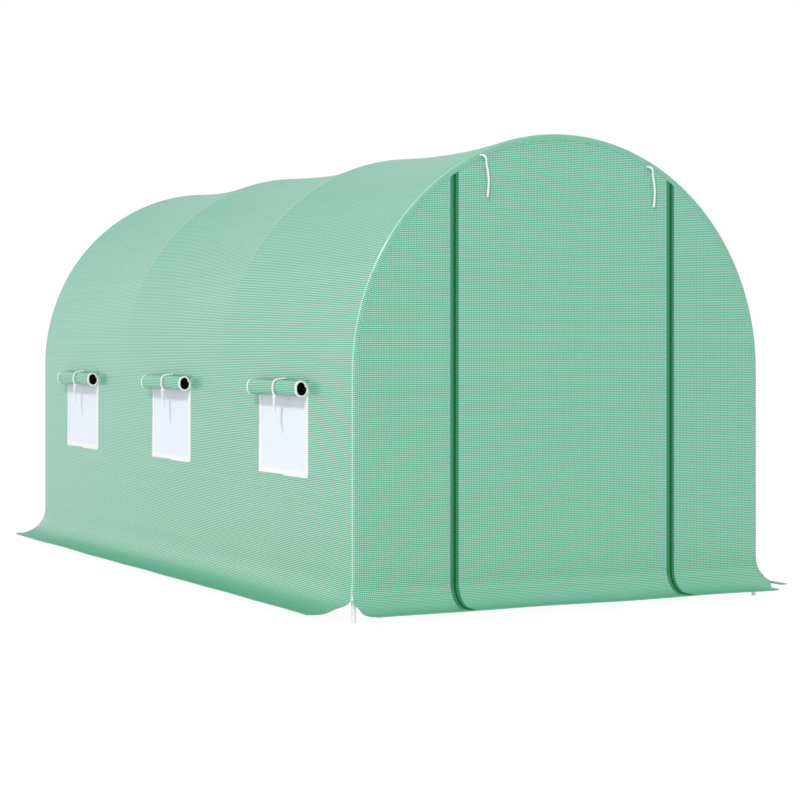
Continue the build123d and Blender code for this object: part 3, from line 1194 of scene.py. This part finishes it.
# Routes of the ties: across, out from the door end, up
door_tie_route = [
    (-0.412, 0.0, 1.894), (-0.412, 0.020, 1.894), (-0.398, 0.024, 1.884), (-0.393, 0.016, 1.862),
    (-0.380, 0.010, 1.818), (-0.377, 0.0095, 1.772), (-0.383, 0.009, 1.722),
]
door_tie_spacing = 0.824
door_tie_drop = 0.017
door_tie_length = 0.2003
# Out from a side wall, along Y from a window's middle, up
window_tie_route = [
    (0.0038, -0.033, 0.9681), (0.0447, -0.033, 0.9681), (0.0629, -0.033, 0.9499), (0.0629, -0.033, 0.9113),
    (0.0545, -0.033, 0.900), (0.055, -0.033, 0.880), (0.057, -0.0335, 0.858), (0.054, -0.035, 0.828),
    (0.050, -0.036, 0.798),
]
window_tie_length = 0.2185
window_tail_route = [
    (0.0548, -0.0237, 0.889), (0.052, -0.0215, 0.868), (0.048, -0.018, 0.846), (0.0455, -0.017, 0.826),
]
window_tail_length = 0.0641


def door_ties():
    """The two cords that hang beside the door's top corners."""
    shifts = {"left_door_tie": (0.0, 0.0), "right_door_tie": (door_tie_spacing, door_tie_drop)}
    for name, (shift, drop) in shifts.items():
        points = [(across + shift, -half_length - out, up - drop) for across, out, up in door_tie_route]
        piece, facts = tie(name + "_cord", points, door_tie_length, name)
        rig.cord(piece, **facts)


def windows():
    """Three windows to a side: mesh, border, rolled flap with bound ends, and its tie."""
    roll_places = spread((-window_half, window_half, 24))
    inner = window_half - binding_width
    outer = window_half + binding_proud
    binding_places = [-outer, -inner, inner, outer]
    roll = roll_path(roll_half_turns)
    outer_turn = along_path(roll_path(2))[-1]
    roll_finish = woven_cover("woven_roll", side_warp_share, core=outer_turn)
    binding = roll_path(2, binding_sheet / 2 - roll_cloth / 2 - binding_proud)
    for word, side in (("left", -1), ("right", 1)):
        for index, place in enumerate(bay_places, 1):
            tag = f"{word}_window_{index}"
            screen = window_screen(tag + "_mesh", side, place)
            settle(screen, net_finish, "screen_mesh", f"{word}_window_screens")
            flat = (2 * screen_half, screen_head - screen_sill)
            border = window_border(tag + "_border", side, place)
            settle(border, tape_finish, "white_tape", f"{word}_window_borders")
            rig.sheet(screen, flat, "stretched", [border], with_pieces=[border])
            flap, run = rolled_sheet(tag + "_flap", roll, roll_places, roll_cloth, side, place)
            settle(flap, roll_finish, "cover", f"{word}_window_rolls")
            tape, _ = rolled_sheet(
                tag + "_binding", binding, binding_places, binding_sheet, side, place,
                lambda across, run: abs(across) < inner)
            settle(tape, binding_finish, "white_tape")
            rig.sheet(flap, (2 * window_half, run), "hung", ["side_cover"], with_pieces=[tape])
            points = route(window_tie_route, side, place)
            cord, facts = tie(f"{tag}_tie", points, window_tie_length, f"{word}_window_tie_{index}")
            lump = knot(f"{tag}_knot", Vector(points[4]).lerp(Vector(points[5]), knot_share))
            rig.cord(cord, **facts, with_pieces=[lump])
            points = route(window_tail_route, side, place)
            tail, facts = tie(f"{tag}_tail", points, window_tail_length, f"{word}_window_tail_{index}")
            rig.cord(tail, **facts)


def tube_frame():
    """The hoops, purlins and rails keep their own shapes and get their zinc."""
    for name, node in frame["nodes"].items():
        if name.endswith(("legs", "arches", "purlin", "rail")):
            for slot in node.material_slots:
                slot.material = tube_finish


# Camera at the photograph's viewing angle
camera_place = (-4.6181, -9.4023, 1.1145)
camera_yaw = -0.47777
camera_lens = 92.896
camera_rise = -0.06969
camera_sensor = 36.0
camera_reach = 200.0


def camera():
    """The level camera that the photograph's edges were fitted to."""
    lens = bpy.data.cameras.new("camera")
    lens.sensor_width = camera_sensor
    lens.lens = camera_lens
    lens.shift_y = camera_rise
    lens.clip_end = camera_reach
    viewer = bpy.data.objects.new("camera", lens)
    viewer.location = camera_place
    viewer.rotation_euler = (pi / 2, 0, camera_yaw)
    bpy.context.collection.objects.link(viewer)
    bpy.context.scene.camera = viewer


# Light
sky_at_horizon = 1.00
sky_fall = 0.62
ceiling = 0.55
ceiling_span = (0.3, 0.9)
key_direction = Vector((-0.576, -0.538, 0.615))
key_distance = 45.0
key_size = 3.6
key_power = 10300.0
floor_size = 160.0
floor_glow = 1.05
floor_share = 0.92


class Backdrop(Finish):
    """The nodes of the world or of the floor."""

    def __init__(self, owner):
        owner.use_nodes = True
        self.tree = owner.node_tree

    def seen_directly(self):
        """Return 1 for rays that show the background itself."""
        path = self.add("ShaderNodeLightPath", {}, {}, "Is Camera Ray")
        for name in ("Is Glossy Ray", "Is Transmission Ray"):
            path = path.math("MAXIMUM", self.add("ShaderNodeLightPath", {}, {}, name))
        return path

    def show(self, kind, share, first, second):
        """Send a mix of two shaders to the output."""
        mix = self.add("ShaderNodeMixShader", {}, {0: share, 1: first, 2: second})
        output = next(node for node in self.tree.nodes if node.type == kind)
        self.feed(output.inputs["Surface"], mix)


def studio():
    """White surroundings, a sky that is brighter towards the horizon and one lamp from the front left."""
    scene = bpy.context.scene
    scene.view_settings.view_transform = "Standard"
    world = bpy.data.worlds.new("studio")
    scene.world = world
    sky = Backdrop(world)
    ray = sky.add("ShaderNodeTexCoord", {}, {}, "Generated")
    height = sky.add("ShaderNodeSeparateXYZ", {}, {0: ray}, "Z").math("MAXIMUM", 0.0)
    white = (1, 1, 1, 1)
    light = sky.add("ShaderNodeBackground", {}, {0: white, 1: sky_at_horizon - height * sky_fall})
    overhead = sky.rise(height, *ceiling_span, 1.0, ceiling)
    shown = sky.add("ShaderNodeBackground", {}, {0: white, 1: overhead})
    sky.show("OUTPUT_WORLD", sky.seen_directly(), light, shown)

    lamp = bpy.data.lights.new("key", "AREA")
    lamp.energy = key_power
    lamp.size = key_size
    key = bpy.data.objects.new("key", lamp)
    key.location = Vector((0, 0, wall_top)) + key_direction.normalized() * key_distance
    key.rotation_euler = key_direction.to_track_quat("Z", "Y").to_euler()
    bpy.context.collection.objects.link(key)

    bpy.ops.object.select_all(action="DESELECT")
    bpy.ops.mesh.primitive_plane_add(size=floor_size)
    floor = bpy.context.object
    floor.name = "floor"
    paint = bpy.data.materials.new("floor")
    ground = Backdrop(paint)
    matt = ground.add("ShaderNodeBsdfDiffuse", {}, {0: (0.9, 0.9, 0.9, 1)})
    glow = ground.add("ShaderNodeEmission", {}, {0: white, 1: floor_glow})
    ground.show("OUTPUT_MATERIAL", ground.seen_directly() * floor_share, matt, glow)
    floor.data.materials.append(paint)
    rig.stage(floor)


camera()
door_ties()
windows()
side_cover()
end_walls()
door_zip("right_zip", 1)
door_zip("left_zip", -1)
tube_frame()
studio()

with open("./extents.json", "w") as file:
    json.dump({"cad": [list(corner) for corner in cad_box], "visual": [list(corner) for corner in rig.bounds()]}, file)
